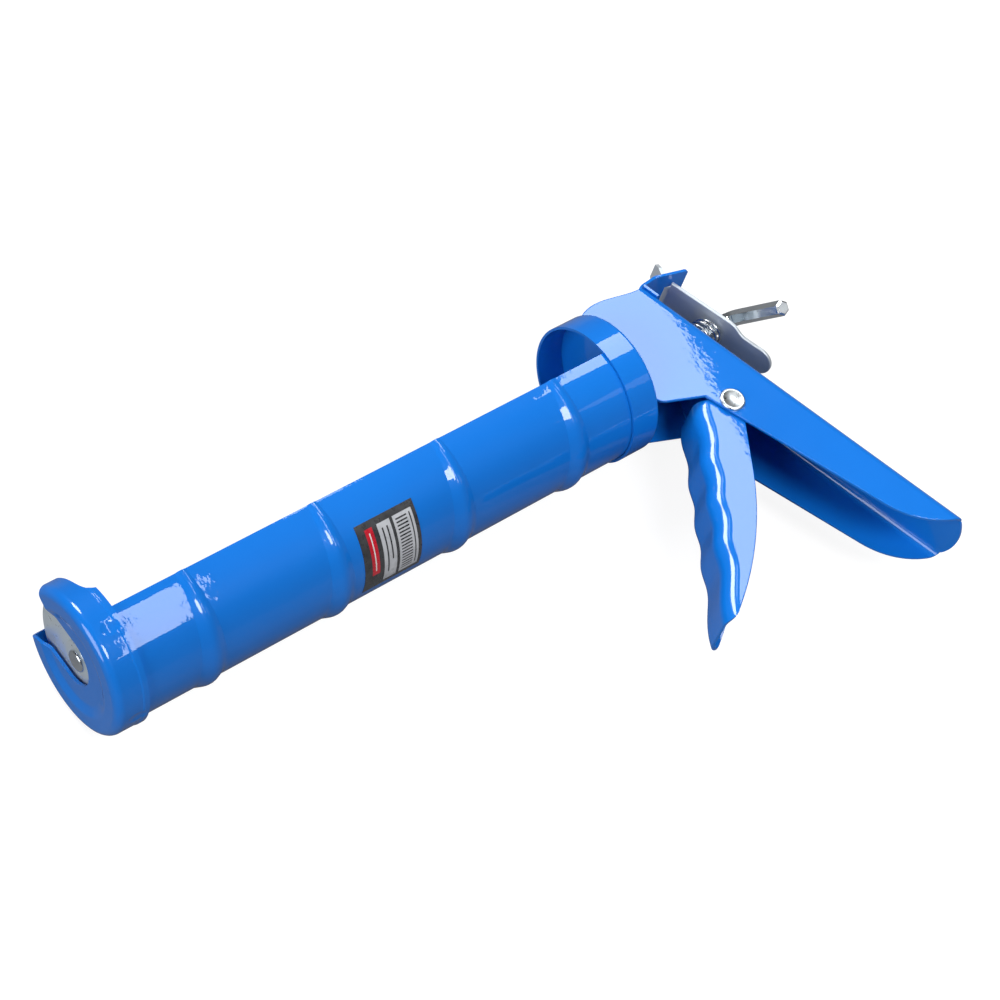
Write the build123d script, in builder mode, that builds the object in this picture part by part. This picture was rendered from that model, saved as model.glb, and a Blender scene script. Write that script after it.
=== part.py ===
from build123d import *
import math
import os

# Half-barrel caulking gun for 310 ml cartridges, millimetres.
# X runs along the barrel to the rear, Y is the gun's up, Z is its left-hand side.
# The origin is on the barrel axis, in the plane of the front cap's outer ring.

# Cradle and its end cups
barrel_r = 26.6
barrel_wall = 0.9
barrel_start = 3.6
bead_first = 40.0
bead_pitch = 54.0
bead_count = 4
bead_height = 1.5
bead_fade = 1.1
bead_foot = 5.5
bead_flat = 1.0
bead_blend = 4.8
cap_r = 27.9
cap_wall = 1.2
cap_length = 12.5
cap_edge_r = 3.2
cap_lip = 0.3
cap_lip_start = 10.6
cap_lip_blend = 0.4
cap_ring_inner_r = 20.2
cap_flat_r = 16.6
cap_dish_blend = 3.0
cap_dish = 1.4
slot_half_width = 10.5
slot_centre_y = 1.8
slot_flare_y = 12.0
slot_mouth_y = 24.0
slot_mouth_half = 17.8
skirt_cut = ((7.4, 24.0), (8.6, 15.5), (9.9, 10.5))
skirt_cut_end_y = 8.2
weld_angles = (104, 180, 256)
weld_x = 7.6
weld_ball_r = 12.0
weld_depth = 0.4
collar_r = 27.8
collar_wall = 1.0
collar_start = 227.1
collar_end = 240.0
collar_edge_r = 1.4
rod_hole_r = 3.6

# Handle body, one folded sheet
body_half = 14.1
sheet = 1.1
web_lean = 15.6
web_top_x = 272.4
web_top_y = 23.1
fold_r = 4.0
body_top_start_y = 23.4
body_crown = ((250.5, 25.5), (263.5, 23.3))
heel_x = 244.5
heel_y = -23.8
heel_end_y = -19.0
front_lean = 22.3
throat_x = 259.2
throat_y = -29.1
tip_y = -121.4
tip_arc_start_y = -101.0
tip_bulge = 2.7
ear_slope = 13.2
ear_corner_y = 25.85
ear_end_x = 292.6
ear_neck_half = 9.0
ear_wide_x = 278.6
relief_lead = 4.7
ear_slot_start = 284.6
ear_slot_half = 6.2
ear_slot_length = 4.6
ear_corner_r = 2.0
ear_fold_r = 2.2
ear_root_y = 17.0
weld_tab = 5.4
weld_tab_height = 34.0
edge_round = 0.4

# Trigger and its pivot
pivot_x = 267.0
pivot_y = -35.8
pivot_r = 2.5
flange_clearance = 0.05
trigger_clearance = 0.06
trigger_half = 12.6
trigger_x = 251.4
trigger_y = -33.0
trigger_lean = 33.1
trigger_overlap = 7.0
trigger_back = ((60.0, 14.2), (26.0, 19.2))
trigger_fold_r = 6.0
finger_pitch = 18.0
finger_count = 4
finger_depth = 1.1
finger_crest = 0.9
finger_rise = 0.5
trigger_length = 88.3
arm_reach = 28.1
arm_offset_angle = 12.5
arm_root_r = 7.0
nose_r = 3.0
rivet_head_r = 4.95
rivet_head_height = 1.1
rivet_edge_r = 0.6
rivet_recess_ball_r = 16.0
rivet_recess_depth = 0.48

# Rod, piston and grip plates
rod_flats = 5.5
hook_x = 304.0
hook_bend_r = 4.6
hook_length = 33.0
hook_angle = -33.0
hook_chamfer = 0.7
piston_r = 23.7
piston_front = 3.6
piston_depth = 5.0
piston_sheet = 1.5
piston_edge_r = 1.7
stud_r = 2.6
stud_head_r = 4.2
stud_head_height = 1.2
stud_edge_r = 0.9
stud_clearance = 0.05
washer_r = 7.5
washer_chamfer = 0.25
front_washer_height = 0.8
back_washer_height = 1.2
grip_half = 12.4
grip_top = 11.5
grip_bottom = -10.5
grip_thickness = 3.0
grip_corner_r = 3.0
grip_rear = 269.2
grip_gap = 0.2
grip_hole_r = 3.5

# Release plate
plate_lean = 18.0
plate_sheet = 1.5
plate_half = 9.6
plate_tab_half = 6.5
plate_top_x = 285.6
plate_top_y = 20.6
plate_shoulder = 27.2
plate_tab_start = 36.2
plate_length = 49.5
plate_hole_r = 4.2
tongue_half = 5.2
tongue_corner = 1.4
tongue_length = 14.1
tongue_lean = 20.0

# Springs
drive_spring_r = 6.6
drive_wire_r = 0.8
drive_turns = 6
release_spring_r = 5.3
release_wire_r = 0.55
release_turns = 4
release_spring_start = 280.7
release_spring_end = 290.0

# Sticker
label_start = 102.8
label_end = 127.8
label_from = 31.0
label_to = 94.0
label_thickness = 0.12

web_slope = math.tan(math.radians(web_lean))
front_slope = math.tan(math.radians(front_lean))
barrel_axis = Axis.X


def web_x(y):
    """X of the web's rear surface at height y."""
    return web_top_x + (web_top_y - y) * web_slope


def front_x(y):
    """X of the handle's front edge at height y."""
    return throat_x + (throat_y - y) * front_slope


def save(piece, name):
    piece.part.label = name
    export_step(piece.part, f"parts/{name}.step")


def make_front_cap():
    """Pressed cup with a dished face, open to the top through a slot that flares at its mouth."""
    with BuildPart() as cap:
        with BuildSketch(Plane.XY):
            with BuildLine():
                outline = FilletPolyline(
                    (cap_length, cap_r + cap_lip),
                    (cap_lip_start, cap_r + cap_lip),
                    (cap_lip_start - 2 * cap_lip, cap_r),
                    (0, cap_r),
                    (0, cap_ring_inner_r),
                    (cap_dish, cap_flat_r),
                    (cap_dish, 0),
                    radius=[cap_lip_blend, cap_lip_blend, cap_edge_r, cap_dish_blend, cap_dish_blend],
                )
                offset(outline, amount=cap_wall, side=Side.LEFT)
            make_face()
        revolve(axis=barrel_axis)
        with BuildSketch(Plane.YZ.offset(-1)):
            with BuildLine():
                floor = CenterArc((slot_centre_y, 0), slot_half_width, 90, 180)
                left = Line((slot_centre_y, -slot_half_width), (slot_flare_y, -slot_half_width))
                flare = Spline(
                    left @ 1,
                    (slot_mouth_y, -slot_mouth_half),
                    tangents=[(1, 0), (0.4, -1)],
                )
                mouth = Polyline(flare @ 1, (2 * cap_r, -slot_mouth_half), (2 * cap_r, slot_mouth_half))
                far_mouth = Line(mouth @ 1, (slot_mouth_y, slot_mouth_half))
                far_flare = Spline(
                    far_mouth @ 1,
                    (slot_flare_y, slot_half_width),
                    tangents=[(-0.4, -1), (-1, 0)],
                )
                Line(far_flare @ 1, floor @ 0)
            make_face()
        extrude(amount=cap_length + 2, mode=Mode.SUBTRACT)
        with BuildSketch(Plane.XY.offset(-2 * cap_r)):
            with BuildLine():
                cut = Spline(*skirt_cut, (cap_length + 1, skirt_cut_end_y))
                Polyline(cut @ 1, (cap_length + 1, 2 * cap_r), (skirt_cut[0][0], 2 * cap_r), cut @ 0)
            make_face()
        extrude(amount=4 * cap_r, mode=Mode.SUBTRACT)
        for angle in weld_angles:
            reach = cap_r + weld_ball_r - weld_depth
            turn = math.radians(angle)
            with Locations((weld_x, reach * math.cos(turn), reach * math.sin(turn))):
                Sphere(weld_ball_r, mode=Mode.SUBTRACT)
    return cap


def bead_profile(centre, base):
    """Half-section of one bead, from the bead's axis out to its crest."""
    crest = base + bead_height
    low = centre - 2 * bead_foot
    high = centre + 2 * bead_foot
    with BuildLine() as profile:
        ridge = FilletPolyline(
            (low, base),
            (centre - bead_foot, base),
            (centre - bead_flat, crest),
            (centre + bead_flat, crest),
            (centre + bead_foot - bead_flat, base),
            (high, base),
            radius=bead_blend,
        )
        Polyline(ridge @ 1, (high, 0), (low, 0), ridge @ 0)
    return profile


def make_cradle():
    """Half-round trough with beads that fade towards its two rims."""
    inner_r = barrel_r - barrel_wall
    bead_axis = Axis((0, -bead_fade, 0), (1, 0, 0))
    bead_plane = Plane(origin=(0, -bead_fade, 0), x_dir=(1, 0, 0), z_dir=(0, 0, 1))
    with BuildPart() as cradle:
        with BuildSketch(Plane.YZ.offset(barrel_start)):
            Circle(barrel_r)
        extrude(amount=collar_end - collar_wall - 0.1 - barrel_start)
        for index in range(bead_count):
            with BuildSketch(bead_plane):
                add(bead_profile(bead_first + index * bead_pitch, barrel_r - bead_fade).line)
                make_face()
            revolve(axis=bead_axis)
        with BuildSketch(Plane.YZ.offset(barrel_start - 1)):
            Circle(inner_r)
        extrude(amount=collar_end, mode=Mode.SUBTRACT)
        for index in range(bead_count):
            with BuildSketch(bead_plane):
                add(bead_profile(bead_first + index * bead_pitch, inner_r - bead_fade).line)
                make_face()
            revolve(axis=bead_axis, mode=Mode.SUBTRACT)
        split(bisect_by=Plane.XZ, keep=Keep.TOP)
    return cradle


def make_rear_collar():
    """Shallow cup that closes the rear of the cradle."""
    with BuildPart() as collar:
        with BuildSketch(Plane.YZ.offset(collar_start)):
            Circle(collar_r)
        extrude(amount=collar_end - collar_start)
        fillet(collar.edges().group_by(Axis.X)[-1], collar_edge_r)
        with BuildSketch(Plane.YZ.offset(collar_start)):
            Circle(collar_r - collar_wall)
        extrude(amount=collar_end - collar_start - collar_wall, mode=Mode.SUBTRACT)
        with BuildSketch(Plane.YZ.offset(collar_start)):
            Circle(rod_hole_r)
        extrude(amount=collar_end, mode=Mode.SUBTRACT)
    return collar


def body_outline():
    """Side view of the folded body, from collar to handle tip."""
    arc_start = (front_x(tip_arc_start_y), tip_arc_start_y)
    tip = (web_x(tip_y), tip_y)
    with BuildLine() as outline:
        top = Spline((collar_end, body_top_start_y), *body_crown, (web_top_x, web_top_y))
        back = Line(top @ 1, tip)
        curve = TangentArc(arc_start, tip, tangent=(front_slope, -1))
        front = Line(curve @ 0, (throat_x, throat_y))
        throat = Line(front @ 1, (heel_x, heel_y))
        heel = TangentArc(throat @ 1, (collar_end, heel_end_y), tangent=throat % 1)
        Line(heel @ 1, top @ 0)
    return outline


def ear_profile():
    """Bent strip from the top of the web into the ear that slopes to the rear."""
    corner_x = web_x(ear_corner_y) - sheet / 2
    drop = (ear_end_x - corner_x) * math.tan(math.radians(ear_slope))
    with BuildLine() as centre_line:
        path = FilletPolyline(
            (web_x(ear_root_y) - sheet / 2, ear_root_y),
            (corner_x, ear_corner_y),
            (ear_end_x, ear_corner_y - drop),
            radius=ear_fold_r,
        )
        offset(path, amount=sheet / 2, side=Side.BOTH)
    return centre_line


def make_body_space():
    """Room inside the folded sheet, open to the front and below."""
    inner_half = body_half - sheet
    inner_shift = sheet / math.cos(math.radians(web_lean))
    front = collar_end - 5
    top = 40
    bottom = -140
    with BuildPart() as space:
        with BuildSketch(Plane.XY.offset(-inner_half)):
            Polygon(
                (front, top),
                (web_x(top) - inner_shift, top),
                (web_x(bottom) - inner_shift, bottom),
                (front, bottom),
                align=None,
            )
        extrude(amount=2 * inner_half)
        back_edges = space.edges().filter_by(Axis.Z, reverse=True).group_by(Edge.length)[-1]
        fillet(back_edges.group_by(Axis.X)[-1], fold_r - sheet)
    return space


def web_end_plane():
    """Plane on the web's rear surface at its lower end: local X down the web, Z into the sheet."""
    lean = math.radians(web_lean)
    down = (math.sin(lean), -math.cos(lean), 0)
    inward = (-math.cos(lean), -math.sin(lean), 0)
    return Plane(origin=(web_x(tip_y), tip_y, 0), x_dir=down, z_dir=inward)


def outer_rims(piece):
    """Outlines of a folded blank's two flat sides, without the line where each meets the fold."""
    rims = ShapeList()
    for outline in (piece.edges().group_by(Axis.Z)[0], piece.edges().group_by(Axis.Z)[-1]):
        rims += outline.sort_by(Edge.length)[:-1]
    return rims


def make_handle_body():
    """Folded sheet: two side flanges, the rear web between them and the slotted ear."""
    inner_half = body_half - sheet
    flat_half = body_half - fold_r
    with BuildPart() as body:
        with BuildSketch(Plane.XY.offset(-body_half)):
            add(body_outline().line)
            make_face()
        extrude(amount=2 * body_half)
        back_edges = body.edges().filter_by(GeomType.LINE).group_by(Edge.length)[-1]
        fillet(back_edges, fold_r)
        fillet(outer_rims(body), edge_round)
        add(body_space.part, mode=Mode.SUBTRACT)
        with BuildSketch(Plane.XY.offset(-body_half)):
            add(ear_profile().line)
            make_face()
        extrude(amount=2 * body_half)
        with BuildSketch(Plane.XZ.offset(-15)):
            with Locations((ear_end_x + sheet / 2 - ear_corner_r, body_half - ear_corner_r)):
                Rectangle(2 * ear_corner_r, 2 * ear_corner_r, align=(Align.MIN, Align.MIN))
                Circle(ear_corner_r, mode=Mode.SUBTRACT)
            mirror(about=Plane.XZ)
        extrude(amount=-15, mode=Mode.SUBTRACT)
        with BuildSketch(Plane.XZ.offset(-web_top_y - 0.2)):
            with BuildLine():
                relief = Spline(
                    (web_x(web_top_y) - relief_lead, ear_neck_half),
                    (ear_wide_x - 6.5, ear_neck_half + 0.4),
                    (ear_wide_x, body_half + 0.1),
                    tangents=[(1, 0), (1, 0.9)],
                )
                Polyline(
                    relief @ 1,
                    (ear_wide_x, body_half + 5),
                    (web_x(web_top_y) - relief_lead, body_half + 5),
                    relief @ 0,
                )
            make_face()
            mirror(about=Plane.XZ)
        extrude(amount=-10, mode=Mode.SUBTRACT)
        with BuildSketch(Plane.XZ.offset(-15)):
            with Locations((ear_slot_start, 0)):
                Rectangle(ear_slot_length, 2 * ear_slot_half, align=(Align.MIN, Align.CENTER))
        extrude(amount=-15, mode=Mode.SUBTRACT)
        with BuildSketch(Plane.YZ.offset(collar_end + 15)):
            Circle(rod_hole_r)
        extrude(amount=40, mode=Mode.SUBTRACT)
        with BuildSketch(Plane.XY.offset(-body_half - 1)):
            with Locations((pivot_x, pivot_y)):
                Circle(pivot_r + flange_clearance)
        extrude(amount=2 * body_half + 2, mode=Mode.SUBTRACT)
        with BuildSketch(web_end_plane()):
            with BuildLine():
                round_end = ThreePointArc((0, -flat_half), (tip_bulge, 0), (0, flat_half))
                Polyline(round_end @ 1, (-sheet, flat_half), (-sheet, -flat_half), round_end @ 0)
            make_face()
        extrude(amount=sheet)
        for side in (-1, 1):
            with BuildSketch(Plane.YZ.offset(collar_end)):
                with Locations((2, side * (inner_half + 0.2 - weld_tab / 2))):
                    RectangleRounded(weld_tab_height, weld_tab, 1.5)
            extrude(amount=sheet)
    return body


def trigger_plane(height):
    """Plane along the trigger: local X towards its tip, local Y towards the handle."""
    lean = math.radians(trigger_lean)
    along = (-math.sin(lean), -math.cos(lean), 0)
    return Plane(origin=(trigger_x, trigger_y, height), x_dir=along, z_dir=(0, 0, 1))


def trigger_front(depth):
    """Wavy finger front, set back from the outer surface by depth."""
    points = [(-trigger_overlap, 2 * finger_rise + depth)]
    for finger in range(finger_count):
        crest = finger * finger_pitch + finger_crest
        points.append((crest, finger_rise + depth))
        points.append((crest + finger_pitch / 2, finger_rise + finger_depth + depth))
    points.append((finger_count * finger_pitch + 2 * finger_crest, finger_rise + depth))
    points.append((trigger_length, depth))
    return points


def make_trigger():
    """Pressed channel with finger waves in front and two arms that reach up beside the rod."""
    inner_half = trigger_half - sheet
    arm_angle = math.radians(90 - arm_offset_angle)
    nose_x = pivot_x + arm_reach * math.cos(arm_angle)
    nose_y = pivot_y + arm_reach * math.sin(arm_angle)
    with BuildPart() as channel:
        with BuildSketch(trigger_plane(-trigger_half)):
            with BuildLine():
                front = Spline(*trigger_front(0))
                end = ThreePointArc(front @ 1, (trigger_length - 0.6, 2.4), (trigger_length - 3.6, 5.0))
                back = ThreePointArc(end @ 1, *trigger_back)
                Polyline(back @ 1, (-trigger_overlap, trigger_back[1][1]), front @ 0)
            make_face()
        extrude(amount=2 * trigger_half)
        front_edges = channel.edges().filter_by(GeomType.BSPLINE)
        fillet(front_edges, trigger_fold_r)
        fillet(outer_rims(channel), edge_round)
    with BuildPart() as hollow:
        with BuildSketch(trigger_plane(-inner_half)):
            with BuildLine():
                front = Spline(*trigger_front(sheet))
                Polyline(front @ 1, (trigger_length, 40), (-trigger_overlap, 40), front @ 0)
            make_face()
        extrude(amount=2 * inner_half)
        inner_edges = hollow.edges().filter_by(GeomType.BSPLINE)
        fillet(inner_edges, trigger_fold_r - sheet)
    with BuildPart() as trigger:
        add(channel.part)
        add(hollow.part, mode=Mode.SUBTRACT)
        for low in (-trigger_half, inner_half):
            with BuildSketch(Plane.XY.offset(low)):
                with Locations((pivot_x, pivot_y)):
                    Circle(arm_root_r)
                with Locations((nose_x, nose_y)):
                    Circle(nose_r)
                make_hull()
            extrude(amount=sheet)
        with BuildSketch(Plane.XY.offset(-body_half)):
            with Locations((pivot_x, pivot_y)):
                Circle(pivot_r + trigger_clearance)
        extrude(amount=2 * body_half, mode=Mode.SUBTRACT)
    return trigger


def make_trigger_rivet():
    """Through rivet: a low head on each side, with a shallow recess in the left one."""
    crown = body_half + rivet_head_height
    with BuildPart() as rivet:
        with BuildSketch(Plane.XY.offset(-body_half)):
            with Locations((pivot_x, pivot_y)):
                Circle(pivot_r)
        extrude(amount=2 * body_half)
        for low in (-crown, body_half):
            with BuildSketch(Plane.XY.offset(low)):
                with Locations((pivot_x, pivot_y)):
                    Circle(rivet_head_r)
            extrude(amount=rivet_head_height)
        fillet(rivet.edges().group_by(Axis.Z)[-1], rivet_edge_r)
        fillet(rivet.edges().group_by(Axis.Z)[0], rivet_edge_r)
        with Locations((pivot_x, pivot_y, crown + rivet_recess_ball_r - rivet_recess_depth)):
            Sphere(rivet_recess_ball_r, mode=Mode.SUBTRACT)
    return rivet


def make_push_rod():
    """Hexagonal rod: its front end is riveted over the piston, its rear end bends into a hook."""
    hook_turn = math.radians(hook_angle)
    hook = Vector(0, math.sin(hook_turn), math.cos(hook_turn))
    corner = Vector(hook_x, 0, 0)
    shoulder = piston_front + piston_sheet + back_washer_height
    stud_start = piston_front - front_washer_height
    with BuildPart() as rod:
        with BuildLine() as path:
            FilletPolyline(
                Vector(shoulder, 0, 0),
                corner,
                corner + hook * hook_length,
                radius=hook_bend_r,
            )
        with BuildSketch(Plane.YZ.offset(shoulder)):
            RegularPolygon(rod_flats / 2, 6, major_radius=False, rotation=hook_angle)
        sweep(path=path.wires()[0], transition=Transition.ROUND)
        end_face = rod.faces().sort_by(Axis.Z)[-1]
        chamfer(end_face.edges(), hook_chamfer)
        with BuildSketch(Plane.YZ.offset(stud_start)):
            Circle(stud_r)
        extrude(amount=shoulder - stud_start)
        with BuildSketch(Plane.YZ.offset(stud_start - stud_head_height)):
            Circle(stud_head_r)
        extrude(amount=stud_head_height)
        fillet(rod.edges().group_by(Axis.X)[0], stud_edge_r)
    return rod


def make_piston_plate():
    """Shallow pressed cup that pushes the cartridge's plunger."""
    with BuildPart() as piston:
        with BuildSketch(Plane.XY):
            with BuildLine():
                outline = FilletPolyline(
                    (piston_front + piston_depth, piston_r),
                    (piston_front, piston_r),
                    (piston_front, stud_r + stud_clearance),
                    radius=piston_edge_r,
                )
                offset(outline, amount=piston_sheet, side=Side.LEFT)
            make_face()
        revolve(axis=barrel_axis)
    return piston


def make_washer(start, height):
    with BuildPart() as washer:
        with BuildSketch(Plane.YZ.offset(start)):
            Circle(washer_r)
            Circle(stud_r + stud_clearance, mode=Mode.SUBTRACT)
        extrude(amount=height)
        chamfer(washer.edges().group_by(SortBy.LENGTH)[-1], washer_chamfer)
    return washer


def make_grip_plate(front):
    """Stamped plate that tilts and bites on the rod when the trigger pushes it."""
    middle = (grip_top + grip_bottom) / 2
    with BuildPart() as grip:
        with BuildSketch(Plane.YZ.offset(front)):
            with Locations((middle, 0)):
                RectangleRounded(grip_top - grip_bottom, 2 * grip_half, grip_corner_r)
            Circle(grip_hole_r, mode=Mode.SUBTRACT)
        extrude(amount=grip_thickness)
    return grip


def make_spring(start, end, radius, wire_r, turns):
    """Open coil round the rod, with its wire inside start and end."""
    low = start + wire_r + 0.1
    length = end - start - 2 * wire_r - 0.2
    with BuildPart() as spring:
        with BuildLine() as coil:
            turn = Helix(
                pitch=length / turns,
                height=length,
                radius=radius,
                center=(low, 0, 0),
                direction=(1, 0, 0),
            )
        with BuildSketch(Plane(origin=turn @ 0, z_dir=turn % 0)):
            Circle(wire_r)
        sweep(path=coil.wires()[0], is_frenet=True)
    return spring


def make_release_plate():
    """Thumb plate: a tongue through the ear, a wide middle around the rod and a rounded tab."""
    top = (plate_top_x, plate_top_y, 0)
    lean = math.radians(plate_lean)
    back = math.radians(tongue_lean)
    plate_plane = Plane(origin=top, x_dir=(0, 0, 1), z_dir=(math.cos(lean), math.sin(lean), 0))
    tongue_plane = Plane(origin=top, x_dir=(0, 0, 1), z_dir=(math.cos(back), -math.sin(back), 0))
    rod_distance = plate_top_y / math.cos(lean) + plate_sheet / 2 * math.tan(lean)
    tab_centre = plate_length - plate_tab_half
    with BuildPart() as plate:
        with BuildSketch(plate_plane):
            with BuildLine():
                edge = Line((0, 0), (plate_half, 0))
                side = Line(edge @ 1, (plate_half, plate_shoulder))
                neck = Spline(
                    side @ 1,
                    (plate_tab_half, plate_tab_start),
                    tangents=[(0, 1), (0, 1)],
                )
                tab_side = Line(neck @ 1, (plate_tab_half, tab_centre))
                tab = ThreePointArc(
                    tab_side @ 1,
                    (plate_tab_half * math.sqrt(0.5), tab_centre + plate_tab_half * math.sqrt(0.5)),
                    (0, plate_length),
                )
                Line(tab @ 1, edge @ 0)
            make_face()
            mirror(about=Plane.YZ)
            with Locations((0, rod_distance)):
                Circle(plate_hole_r, mode=Mode.SUBTRACT)
        extrude(amount=plate_sheet)
        flats = plate.faces().sort_by(Axis(top, plate_plane.z_dir))
        fillet(flats[0].edges() + flats[-1].edges(), edge_round)
        with BuildSketch(tongue_plane):
            with BuildLine():
                Polyline(
                    (-tongue_half, 0),
                    (-tongue_half, 2 * tongue_corner - tongue_length),
                    (tongue_corner - tongue_half, -tongue_length),
                    (tongue_half - tongue_corner, -tongue_length),
                    (tongue_half, 2 * tongue_corner - tongue_length),
                    (tongue_half, 0),
                    close=True,
                )
            make_face()
        extrude(amount=plate_sheet)
    return plate


def make_label():
    """Thin sticker wrapped round the lower left of the cradle."""
    inner_r = barrel_r + 0.01
    with BuildPart() as label:
        with BuildSketch(Plane.XY):
            with Locations(((label_start + label_end) / 2, inner_r)):
                Rectangle(
                    label_end - label_start,
                    label_thickness,
                    align=(Align.CENTER, Align.MIN),
                )
        revolve(axis=barrel_axis, revolution_arc=label_to - label_from)
    label.part.orientation = (90 + label_from, 0, 0)
    return label


os.makedirs("parts", exist_ok=True)
grip_front = grip_rear - 2 * grip_thickness - grip_gap
body_space = make_body_space()
save(make_front_cap(), "front_cap")
save(make_cradle(), "cradle")
save(make_rear_collar(), "rear_collar")
save(make_handle_body(), "handle_body")
save(make_trigger(), "trigger")
save(make_trigger_rivet(), "trigger_rivet")
save(make_push_rod(), "push_rod")
save(make_piston_plate(), "piston_plate")
save(make_washer(piston_front - front_washer_height, front_washer_height), "piston_front_washer")
save(make_washer(piston_front + piston_sheet, back_washer_height), "piston_back_washer")
save(make_grip_plate(grip_front), "front_grip_plate")
save(make_grip_plate(grip_front + grip_thickness + grip_gap), "rear_grip_plate")
save(make_spring(collar_end, grip_front, drive_spring_r, drive_wire_r, drive_turns), "drive_spring")
save(
    make_spring(
        release_spring_start,
        release_spring_end,
        release_spring_r,
        release_wire_r,
        release_turns,
    ),
    "release_spring",
)
save(make_release_plate(), "release_plate")
save(make_label(), "barrel_label")
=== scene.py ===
import math

import bmesh
import bpy
from mathutils import Euler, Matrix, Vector


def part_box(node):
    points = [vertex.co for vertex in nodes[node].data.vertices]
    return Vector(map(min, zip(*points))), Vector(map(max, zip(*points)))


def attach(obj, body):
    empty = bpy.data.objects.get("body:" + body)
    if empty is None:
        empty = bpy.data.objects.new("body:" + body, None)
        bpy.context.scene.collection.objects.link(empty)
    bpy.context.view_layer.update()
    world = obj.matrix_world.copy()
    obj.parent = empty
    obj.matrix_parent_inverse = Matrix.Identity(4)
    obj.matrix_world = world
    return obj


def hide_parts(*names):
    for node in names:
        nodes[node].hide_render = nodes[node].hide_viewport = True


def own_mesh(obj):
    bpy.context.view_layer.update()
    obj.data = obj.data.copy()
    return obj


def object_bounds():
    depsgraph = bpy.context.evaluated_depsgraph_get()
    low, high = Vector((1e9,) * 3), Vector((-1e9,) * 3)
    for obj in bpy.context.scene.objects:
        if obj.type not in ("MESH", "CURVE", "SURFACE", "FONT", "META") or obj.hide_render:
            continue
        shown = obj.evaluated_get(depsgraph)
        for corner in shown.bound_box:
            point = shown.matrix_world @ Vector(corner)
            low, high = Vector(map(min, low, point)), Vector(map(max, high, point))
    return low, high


# Looks of a half-barrel caulking gun: blue enamel, bright zinc, spring wire and a plain label.
# Everything is in metres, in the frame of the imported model: X along the barrel to the rear,
# Z up, with the gun lying on its right side.

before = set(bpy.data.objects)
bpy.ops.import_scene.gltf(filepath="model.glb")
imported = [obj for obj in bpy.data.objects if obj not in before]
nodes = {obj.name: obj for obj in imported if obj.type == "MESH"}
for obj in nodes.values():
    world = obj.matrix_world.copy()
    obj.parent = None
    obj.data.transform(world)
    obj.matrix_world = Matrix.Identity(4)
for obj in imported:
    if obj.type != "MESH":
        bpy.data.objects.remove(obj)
cad_low, cad_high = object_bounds()
MM = 0.001

CAMERA_PLACE = Vector((-0.2778, -0.3184, 0.7350))
CAMERA_TURN = Euler([math.radians(angle) for angle in (34.06, -12.90, -38.10)])
CAMERA_LENS = 90.5

ENAMEL_BLUE = (0.0045, 0.178, 0.68)
ENAMEL_DEEP = (0.0035, 0.158, 0.62)

# Heights of the two relief layers in the enamel.
SHEET_WAVES = 0.09 * MM
ORANGE_PEEL = 0.012 * MM

# Where the label starts and ends round the barrel, in degrees from +Y towards +Z.
LABEL_ANGLES = (121.0, 184.0)

# The release spring's last turn lies against the release plate, which leans by this slope.
SEAT_LEAN = math.tan(math.radians(18))

# The floor's half width round the gun's middle, and its depth below the gun's lowest point.
FLOOR_REACH = 0.62
FLOOR_DROP = 0.2 * MM

BOX_HEIGHT = 1.0
BOX_TINT = (0.95, 1.0, 1.05)


# --- material helpers ---------------------------------------------------------------------


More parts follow.
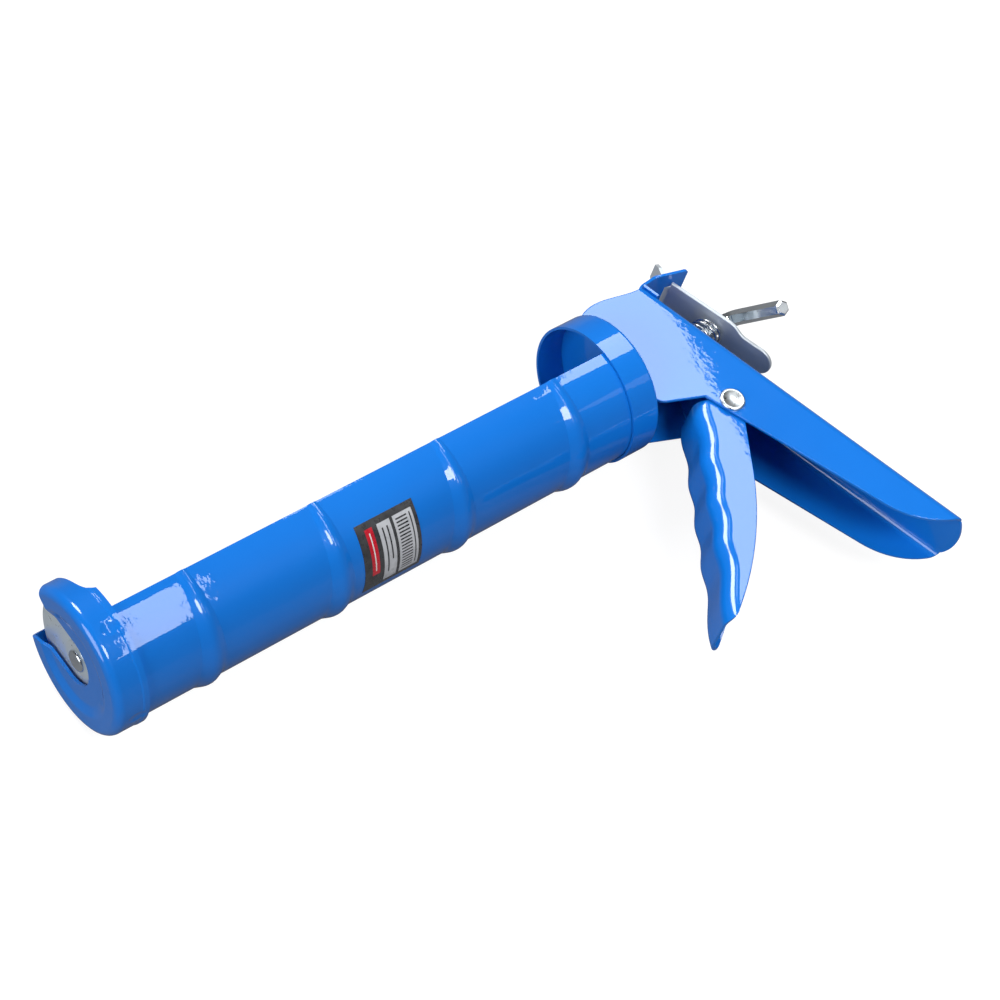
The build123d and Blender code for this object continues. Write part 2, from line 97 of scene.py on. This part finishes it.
class Graph:
    """A material's node tree, with short calls for the nodes used here."""

    def __init__(self, name):
        self.material = bpy.data.materials.new(name)
        self.material.use_nodes = True
        self.tree = self.material.node_tree
        self.shader = self.tree.nodes["Principled BSDF"]

    def add(self, kind, **values):
        node = self.tree.nodes.new(kind)
        for key, value in values.items():
            setattr(node, key, value)
        return node

    def link(self, source, target):
        self.tree.links.new(source, target)

    def set(self, **values):
        for key, value in values.items():
            self.shader.inputs[key.replace("_", " ")].default_value = value

    def place(self):
        return self.add("ShaderNodeTexCoord").outputs["Object"]

    def noise(self, scale, detail=2.0, stretch=(1, 1, 1), distortion=0.0):
        mapping = self.add("ShaderNodeMapping")
        mapping.inputs["Scale"].default_value = stretch
        self.link(self.place(), mapping.inputs["Vector"])
        node = self.add("ShaderNodeTexNoise")
        node.inputs["Scale"].default_value = scale
        node.inputs["Detail"].default_value = detail
        node.inputs["Distortion"].default_value = distortion
        self.link(mapping.outputs["Vector"], node.inputs["Vector"])
        return node.outputs["Fac"]

    def ramp(self, value, low, high, start=0.3, end=0.7):
        node = self.add("ShaderNodeMapRange", clamp=True)
        for key, number in zip(("From Min", "From Max", "To Min", "To Max"), (start, end, low, high)):
            node.inputs[key].default_value = number
        self.link(value, node.inputs["Value"])
        return node.outputs["Result"]

    def mix(self, factor, first, second):
        node = self.add("ShaderNodeMix", data_type="RGBA")
        self.link(factor, node.inputs["Factor"])
        for key, value in (("A", first), ("B", second)):
            socket = [s for s in node.inputs if s.name == key and s.type == "RGBA"][0]
            if isinstance(value, tuple):
                socket.default_value = (*value, 1)
            else:
                self.link(value, socket)
        return [s for s in node.outputs if s.type == "RGBA"][0]

    def math(self, operation, first, second=None):
        node = self.add("ShaderNodeMath", operation=operation)
        for socket, value in zip(node.inputs, (first, second)):
            if value is None:
                continue
            if isinstance(value, (int, float)):
                socket.default_value = value
            else:
                self.link(value, socket)
        return node.outputs[0]

    def band(self, value, low, high):
        """1 where value lies between low and high, else 0."""
        above = self.math("GREATER_THAN", value, low)
        below = self.math("LESS_THAN", value, high)
        return self.math("MULTIPLY", above, below)

    def bump(self, *layers):
        """Stacks (height, distance in metres) layers on the shader's normal, and on its coat's."""
        normal = None
        for height, distance in layers:
            node = self.add("ShaderNodeBump")
            node.inputs["Strength"].default_value = 1.0
            node.inputs["Distance"].default_value = distance
            self.link(height, node.inputs["Height"])
            if normal is not None:
                self.link(normal, node.inputs["Normal"])
            normal = node.outputs["Normal"]
        self.link(normal, self.shader.inputs["Normal"])
        if self.shader.inputs["Coat Weight"].default_value:
            self.link(normal, self.shader.inputs["Coat Normal"])


def enamel(name, peel=1.0):
    """Glossy blue stoving enamel over sheet steel: slow colour drift, orange peel, soft waves."""
    graph = Graph(name)
    drift = graph.ramp(graph.noise(14, 3), 0, 1)
    graph.link(graph.mix(drift, ENAMEL_DEEP, ENAMEL_BLUE), graph.shader.inputs["Base Color"])
    graph.link(graph.ramp(graph.noise(60, 4), 0.32, 0.42), graph.shader.inputs["Roughness"])
    graph.set(Coat_Weight=1.0, Coat_Roughness=0.012, Coat_IOR=1.52, IOR=1.45, Specular_IOR_Level=0.12)
    graph.bump(
        (graph.noise(34, 1), SHEET_WAVES * peel),
        (graph.noise(430, 2), ORANGE_PEEL * peel),
    )
    return graph.material


def zinc(name, tint, rough, stretch=(1, 1, 1), metallic=1.0):
    """Bright zinc plate: a faint mottle, rolling marks and a cool or straw tint in places."""
    graph = Graph(name)
    cool = tuple(0.9 * part for part in tint)
    straw = (tint[0], 0.99 * tint[1], 0.96 * tint[2])
    mottle = graph.ramp(graph.noise(90, 5, stretch), 0, 1, 0.35, 0.65)
    graph.link(graph.mix(mottle, cool, straw), graph.shader.inputs["Base Color"])
    marks = graph.noise(420, 4, stretch)
    graph.link(graph.ramp(marks, *rough), graph.shader.inputs["Roughness"])
    graph.set(Metallic=metallic)
    graph.bump((marks, 0.008 * MM))
    return graph.material


def hard_steel(name):
    """Plain hardened steel with stamping marks and darker, oily patches."""
    graph = Graph(name)
    oil = graph.ramp(graph.noise(120, 5), 0, 1, 0.35, 0.62)
    graph.link(graph.mix(oil, (0.16, 0.16, 0.165), (0.38, 0.38, 0.39)), graph.shader.inputs["Base Color"])
    grain = graph.noise(700, 3, (1, 0.08, 1))
    graph.link(graph.ramp(grain, 0.3, 0.5), graph.shader.inputs["Roughness"])
    graph.set(Metallic=1.0)
    graph.bump((grain, 0.02 * MM))
    return graph.material


def wire_steel(name):
    """Drawn spring wire: bright, with a fine mottle."""
    graph = Graph(name)
    mottle = graph.ramp(graph.noise(260, 4), 0, 1)
    graph.link(graph.mix(mottle, (0.5, 0.51, 0.52), (0.74, 0.75, 0.75)), graph.shader.inputs["Base Color"])
    graph.link(graph.ramp(graph.noise(900, 3), 0.16, 0.28), graph.shader.inputs["Roughness"])
    graph.set(Metallic=1.0)
    graph.bump((graph.noise(1600, 2), 0.01 * MM))
    return graph.material


def label_film(name, low, high):
    """Printed film without text: charcoal ground, a red strip, two silver panels with rules."""
    graph = Graph(name)
    split = graph.add("ShaderNodeSeparateXYZ")
    graph.link(graph.place(), split.inputs[0])
    across = graph.ramp(split.outputs["X"], 0, 1, low.x, high.x)
    turn = graph.math("ARCTAN2", split.outputs["Z"], split.outputs["Y"])
    degrees = graph.math("MULTIPLY", turn, 180 / math.pi)
    wrapped = graph.math("FLOORED_MODULO", degrees, 360)
    around = graph.ramp(wrapped, 0, 1, *LABEL_ANGLES)

    def block(left, right, top, bottom):
        return graph.math("MULTIPLY", graph.band(across, left, right), graph.band(around, top, bottom))

    worn = graph.ramp(graph.noise(300, 4), 0, 1)
    ground = graph.mix(worn, (0.028, 0.029, 0.033), (0.055, 0.056, 0.06))
    silver = graph.mix(worn, (0.48, 0.49, 0.52), (0.6, 0.61, 0.64))
    red = graph.mix(worn, (0.5, 0.006, 0.02), (0.62, 0.012, 0.03))
    colour = graph.mix(block(0.13, 0.26, 0.09, 0.74), ground, red)
    colour = graph.mix(block(0.34, 0.56, 0.09, 0.93), colour, silver)
    colour = graph.mix(block(0.61, 0.94, 0.09, 0.93), colour, silver)
    ink = (0.03, 0.03, 0.034)
    beat = graph.math("FLOORED_MODULO", graph.math("MULTIPLY", around, 22), 1)
    rules = graph.math("MULTIPLY", block(0.65, 0.84, 0.13, 0.88), graph.math("LESS_THAN", beat, 0.45))
    colour = graph.mix(rules, colour, ink)
    for left, bottom in ((0.40, 0.80), (0.48, 0.62)):
        colour = graph.mix(block(left, left + 0.025, 0.16, bottom), colour, ink)
    colour = graph.mix(block(0.88, 0.90, 0.13, 0.88), colour, ink)
    colour = graph.mix(block(0.185, 0.205, 0.15, 0.68), colour, (0.75, 0.72, 0.7))
    graph.link(colour, graph.shader.inputs["Base Color"])
    graph.link(graph.ramp(graph.noise(500, 3), 0.24, 0.36), graph.shader.inputs["Roughness"])
    graph.set(Coat_Weight=0.6, Coat_Roughness=0.08)
    graph.bump((graph.noise(60, 2), 0.06 * MM))
    return graph.material


def dress(node, material):
    """Gives a carried-over CAD node its material."""
    mesh = nodes[node].data
    mesh.materials.clear()
    mesh.materials.append(material)


# --- springs ------------------------------------------------------------------------------


def coil_point(share, start, end, radius, wire, turns, lean):
    """Point on a compression spring with flat end turns, the last against a seat that leans."""
    closed = 1.0 / (turns + 2)
    rise = min(max((share - closed) / (1 - 2 * closed), 0), 1)
    seat = wire * 1.9
    x = start + wire + seat * min(share / closed, 1) * 0.5
    x += (end - start - 2 * wire - seat) * rise
    x += seat * max((share - 1 + closed) / closed, 0) * 0.5
    angle = 2 * math.pi * (turns + 2) * share
    x += lean * (1 - math.cos(angle)) * radius * rise
    return Vector((x, radius * math.cos(angle), radius * math.sin(angle)))


def make_spring(name, start, end, radius, wire, turns, lean):
    """Round-wire compression spring along X, as a tube mesh with flat-capped ends."""
    steps = 36 * (turns + 2)
    sides = 12
    points = [coil_point(i / steps, start, end, radius, wire, turns, lean) for i in range(steps + 1)]
    mesh = bpy.data.meshes.new(name)
    build = bmesh.new()
    rings = []
    for index, point in enumerate(points):
        ahead = points[min(index + 1, steps)] - points[max(index - 1, 0)]
        out = Vector((0, point.y, point.z)).normalized()
        side = ahead.normalized().cross(out).normalized()
        ring = []
        for part in range(sides):
            turn = 2 * math.pi * part / sides
            ring.append(build.verts.new(point + wire * (math.cos(turn) * out + math.sin(turn) * side)))
        rings.append(ring)
    for first, second in zip(rings, rings[1:]):
        for part in range(sides):
            after = (part + 1) % sides
            build.faces.new((first[part], first[after], second[after], second[part]))
    build.faces.new(list(reversed(rings[0])))
    build.faces.new(rings[-1])
    bmesh.ops.recalc_face_normals(build, faces=build.faces)
    build.to_mesh(mesh)
    build.free()
    for face in mesh.polygons:
        face.use_smooth = len(face.vertices) == 4
    piece = bpy.data.objects.new(name, mesh)
    bpy.context.scene.collection.objects.link(piece)
    return piece


def place_springs(material):
    """Both springs, each built across the box of the CAD part it replaces and fixed to the gun body."""
    specs = (
        ("drive_coil", "drive_spring", "grip_slide", 4, 0.8 * MM, 12.5 * MM, 0),
        ("release_coil", "release_spring", "release_pivot", 3, 0.55 * MM, 3.0 * MM, SEAT_LEAN),
    )
    for name, node, joint, turns, wire, travel, lean in specs:
        low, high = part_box(node)
        radius = (high.y - low.y) / 2 - wire
        piece = make_spring(name, low.x, high.x, radius, wire, turns, lean)
        piece.data.materials.append(material)
        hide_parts(node)
        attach(piece, "gun_body")
        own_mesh(piece)


# --- stage --------------------------------------------------------------------------------


def make_floor():
    """Plain pale studio floor just below the gun's lowest point."""
    height = cad_low.z - FLOOR_DROP
    middle = (cad_low + cad_high) / 2
    mesh = bpy.data.meshes.new("floor")
    corners = [
        (middle.x + side * FLOOR_REACH, middle.y + end * FLOOR_REACH, height)
        for side, end in ((-1, -1), (1, -1), (1, 1), (-1, 1))
    ]
    mesh.from_pydata(corners, [], [(0, 1, 2, 3)])
    floor = bpy.data.objects.new("floor", mesh)
    bpy.context.scene.collection.objects.link(floor)
    graph = Graph("floor_paper")
    shade = graph.mix(graph.ramp(graph.noise(3, 2), 0, 1), (0.16, 0.16, 0.162), (0.18, 0.18, 0.18))
    graph.link(shade, graph.shader.inputs["Base Color"])
    glow = graph.math("MULTIPLY", graph.add("ShaderNodeLightPath").outputs["Is Camera Ray"], 0.9)
    graph.link(glow, graph.shader.inputs["Emission Strength"])
    graph.set(Roughness=0.9, Specular_IOR_Level=0.0, Emission_Color=(1, 1, 1, 1))
    mesh.materials.append(graph.material)


def make_world():
    """Dim soft room, pale where the camera looks straight at it."""
    world = bpy.data.worlds.new("studio")
    bpy.context.scene.world = world
    world.use_nodes = True
    tree = world.node_tree
    background = tree.nodes["Background"]
    background.inputs["Color"].default_value = (1, 1, 1, 1)
    place = tree.nodes.new("ShaderNodeTexCoord")
    split = tree.nodes.new("ShaderNodeSeparateXYZ")
    height = tree.nodes.new("ShaderNodeMapRange")
    for key, value in (("From Min", 0.0), ("From Max", 0.6), ("To Min", 0.14), ("To Max", 0.05)):
        height.inputs[key].default_value = value
    path = tree.nodes.new("ShaderNodeLightPath")
    shown = tree.nodes.new("ShaderNodeMix")
    shown.inputs["B"].default_value = 1.0
    tree.links.new(place.outputs["Generated"], split.inputs[0])
    tree.links.new(split.outputs["Z"], height.inputs["Value"])
    tree.links.new(path.outputs["Is Camera Ray"], shown.inputs["Factor"])
    tree.links.new(height.outputs["Result"], shown.inputs["A"])
    tree.links.new(shown.outputs["Result"], background.inputs["Strength"])


def place_lamp(name, data, centre, turn):
    lamp = bpy.data.objects.new(name, data)
    bpy.context.scene.collection.objects.link(lamp)
    lamp.location = centre
    lamp.rotation_euler = turn
    lamp.visible_camera = False


def soft_box(name, size, brightness):
    """Rectangular area light whose face has the given radiance."""
    data = bpy.data.lights.new(name, "AREA")
    data.shape = "RECTANGLE"
    data.size, data.size_y = size
    data.energy = brightness * math.pi * size[0] * size[1]
    return data


def add_overhead(name, centre, size, brightness, turn=0):
    """Cool soft box a metre above the gun, facing down and turned about the vertical."""
    data = soft_box(name, size, brightness)
    data.color = BOX_TINT
    place_lamp(name, data, (*centre, BOX_HEIGHT), (0, 0, math.radians(turn)))


def add_card(name, centre, size, brightness, target):
    """Small soft box that faces target."""
    data = soft_box(name, size, brightness)
    aim = Vector(target) - Vector(centre)
    place_lamp(name, data, centre, aim.to_track_quat("-Z", "Y").to_euler())


def add_wash(name, direction, spread, strength):
    """Broad distant light from direction, spread degrees wide."""
    data = bpy.data.lights.new(name, "SUN")
    data.angle = math.radians(spread)
    data.energy = strength
    turn = (-Vector(direction)).to_track_quat("-Z", "Y").to_euler()
    place_lamp(name, data, (0, 0, 1), turn)


def make_lights():
    """Soft boxes that show in the enamel, and washes that the flanges and the barrel don't mirror."""
    add_overhead("rear_box", (0.9635, 0.489), (0.15, 0.8), 7.3, -14)
    add_overhead("rim_box", (0.60, 0.62), (0.07, 0.51), 5.0)
    add_overhead("front_box", (0.4175, -0.12), (0.067, 0.58), 7.0, 2.9)
    add_overhead("low_front_box", (0.50, -0.735), (0.08, 0.67), 7.0, 12.0)
    add_wash("near_wash", (0.0, -0.5, 0.87), 22, 1.6)
    add_wash("far_wash", (0.0, 0.68, 0.75), 22, 1.8)
    add_wash("front_wash", (-0.9, 0.0, 0.35), 40, 1.8)
    add_card("hook_card", (0.98, -0.70, 0.71), (0.22, 0.3), 0.8, (cad_high.x, 0, 0))


def make_camera():
    data = bpy.data.cameras.new("camera")
    data.lens = CAMERA_LENS
    data.sensor_width = 36
    camera = bpy.data.objects.new("camera", data)
    bpy.context.scene.collection.objects.link(camera)
    camera.location = CAMERA_PLACE
    camera.rotation_euler = CAMERA_TURN
    bpy.context.scene.camera = camera


# --- assembly -----------------------------------------------------------------------------

cup_enamel = enamel("cup_enamel")
trough_enamel = enamel("trough_enamel", 1.3)
body_enamel = enamel("body_enamel")
trigger_enamel = enamel("trigger_enamel", 0.8)
plate_zinc = zinc("plate_zinc", (0.76, 0.82, 0.88), (0.4, 0.52), metallic=0.65)
rod_zinc = zinc("rod_zinc", (0.80, 0.86, 0.92), (0.14, 0.24), (0.15, 1, 1))
piston_zinc = zinc("piston_zinc", (0.78, 0.88, 0.96), (0.26, 0.38), metallic=0.6)
rivet_steel = zinc("rivet_steel", (0.78, 0.81, 0.83), (0.24, 0.34))
grip_steel = hard_steel("grip_steel")
spring_wire = wire_steel("spring_wire")

for name, material in (
    ("front_cap", cup_enamel),
    ("rear_collar", cup_enamel),
    ("cradle", trough_enamel),
    ("handle_body", body_enamel),
    ("trigger", trigger_enamel),
    ("release_plate", plate_zinc),
    ("push_rod", rod_zinc),
    ("piston_plate", piston_zinc),
    ("piston_front_washer", piston_zinc),
    ("piston_back_washer", piston_zinc),
    ("trigger_rivet", rivet_steel),
    ("front_grip_plate", grip_steel),
    ("rear_grip_plate", grip_steel),
    ("barrel_label", label_film("label_print", *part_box("barrel_label"))),
):
    dress(name, material)

place_springs(spring_wire)
make_floor()
make_world()
make_lights()
make_camera()
bpy.context.scene.view_settings.view_transform = "Standard"
